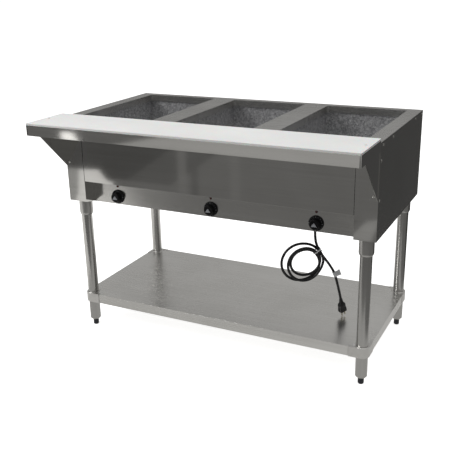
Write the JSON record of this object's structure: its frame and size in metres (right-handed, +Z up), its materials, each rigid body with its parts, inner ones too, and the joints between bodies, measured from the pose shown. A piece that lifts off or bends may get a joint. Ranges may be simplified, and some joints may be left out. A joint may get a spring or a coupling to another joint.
{
  "type": "electric steam table",
  "caption": "Electric steam table: sheet-steel body with sunk wells in a row, a front cutting board, knobs in a recess below, tube legs with an undershelf and a coiled cord.",
  "frame": {"origin": "on the floor under the middle of the table's outline, the cord left out", "axes": "+X along the length to the operator's right, -Y towards the cutting board and knobs, +Z up"},
  "size_m": [1.2006, 0.778, 0.8727],
  "materials": {
    "stainless_panel": "stainless sheet, grain brushed along the length",
    "stainless_top": "stainless sheet, grain brushed along the length",
    "stainless_shelf": "satin stainless sheet, soft reflections",
    "galvanised_pan": "galvanised sheet, dull",
    "stainless_tube": "polished round tube with fine grain round it",
    "stainless_socket": "satin stainless pressing",
    "screw_steel": "bright plated screws",
    "white_board": "white polyethylene, fine matt surface",
    "galvanised_liner": "galvanised sheet with a visible spangle",
    "element_sheath": "dark oxidised metal sheath",
    "insulation_wool": "pale yellow mineral wool",
    "switch_body": "dark moulded thermoset",
    "shaft_steel": "turned steel",
    "knob_plastic": "black moulded plastic, satin gloss, pale triangular pointer and ticks",
    "pilot_lens": "dark red lens",
    "box_steel": "zinc-plated sheet box",
    "wire_sleeve": "high-temperature sleeving",
    "foot_plastic": "black moulded bullet foot",
    "insert_metal": "plain tube insert",
    "clamp_cast": "cast and buffed corner clamp",
    "gland_plastic": "black moulded strain relief",
    "cord_jacket": "black flexible jacket, slight sheen",
    "plug_plastic": "black moulded plug, bright blades",
    "tag_paper": "plain pale paper flag",
    "tie_plastic": "white wire tie"
  },
  "bodies": {
    "table": {"table_top": "stainless_top", "front_apron": "stainless_panel", "control_panel": "stainless_panel", "front_corner_left": "stainless_panel", "front_corner_right": "stainless_panel", "end_panel_left": "stainless_panel", "end_panel_right": "stainless_panel", "rear_panel": "stainless_panel", "bottom_pan": "galvanised_pan", "panel_screws": "screw_steel", "cutting_board": "white_board", "board_screws": "screw_steel", "board_shelf": "stainless_panel", "board_bracket_left": "stainless_panel", "board_bracket_right": "stainless_panel", "bracket_screws": "screw_steel", "well_liner_left": "galvanised_liner", "well_liner_middle": "galvanised_liner", "well_liner_right": "galvanised_liner", "heating_element_left": "element_sheath", "heating_element_middle": "element_sheath", "heating_element_right": "element_sheath", "element_trays": "galvanised_pan", "element_insulation": "insulation_wool", "control_switch_left": "switch_body", "control_switch_middle": "switch_body", "control_switch_right": "switch_body", "pilot_light_left": "pilot_lens", "pilot_light_middle": "pilot_lens", "pilot_light_right": "pilot_lens", "terminal_box": "box_steel", "wire_harness": "wire_sleeve", "leg_sockets": "stainless_socket", "leg_front_left": "stainless_tube", "leg_front_right": "stainless_tube", "leg_rear_left": "stainless_tube", "leg_rear_right": "stainless_tube", "leg_inserts": "insert_metal", "strain_relief": "gland_plastic", "cord_lead": "cord_jacket", "cord_coil": "cord_jacket", "cord_tail": "cord_jacket", "power_plug": "plug_plastic", "cord_tag": "tag_paper", "cord_tie": "tie_plastic"},
    "knob_left": {"control_knob_left": "knob_plastic", "switch_shaft_left": "shaft_steel"},
    "knob_middle": {"control_knob_middle": "knob_plastic", "switch_shaft_middle": "shaft_steel"},
    "knob_right": {"control_knob_right": "knob_plastic", "switch_shaft_right": "shaft_steel"},
    "leg_foot_front_left": {"foot_front_left": "foot_plastic"},
    "leg_foot_front_right": {"foot_front_right": "foot_plastic"},
    "leg_foot_rear_left": {"foot_rear_left": "foot_plastic"},
    "leg_foot_rear_right": {"foot_rear_right": "foot_plastic"},
    "shelf": {"undershelf": "stainless_shelf", "leg_clamps": "clamp_cast", "clamp_screws": "screw_steel"}
  },
  "joints": [
    {"name": "knob_left_turn", "type": "hinge", "parent": "table", "child": "knob_left", "pos_m": [-0.413, -0.131, 0.557], "axis": [0, 1, 0], "continuous": true},
    {"name": "knob_middle_turn", "type": "hinge", "parent": "table", "child": "knob_middle", "pos_m": [-0.017, -0.131, 0.557], "axis": [0, 1, 0], "continuous": true},
    {"name": "knob_right_turn", "type": "hinge", "parent": "table", "child": "knob_right", "pos_m": [0.379, -0.131, 0.557], "axis": [0, 1, 0], "continuous": true},
    {"name": "foot_front_left_screw", "type": "slide", "parent": "table", "child": "leg_foot_front_left", "axis": [0, 0, -1], "range_m": [0, 0.025]},
    {"name": "foot_front_right_screw", "type": "slide", "parent": "table", "child": "leg_foot_front_right", "axis": [0, 0, -1], "range_m": [0, 0.025]},
    {"name": "foot_rear_left_screw", "type": "slide", "parent": "table", "child": "leg_foot_rear_left", "axis": [0, 0, -1], "range_m": [0, 0.025]},
    {"name": "foot_rear_right_screw", "type": "slide", "parent": "table", "child": "leg_foot_rear_right", "axis": [0, 0, -1], "range_m": [0, 0.025]},
    {"name": "shelf_height", "type": "slide", "parent": "table", "child": "shelf", "axis": [0, 0, 1], "range_m": [-0.07, 0]}
  ]
}
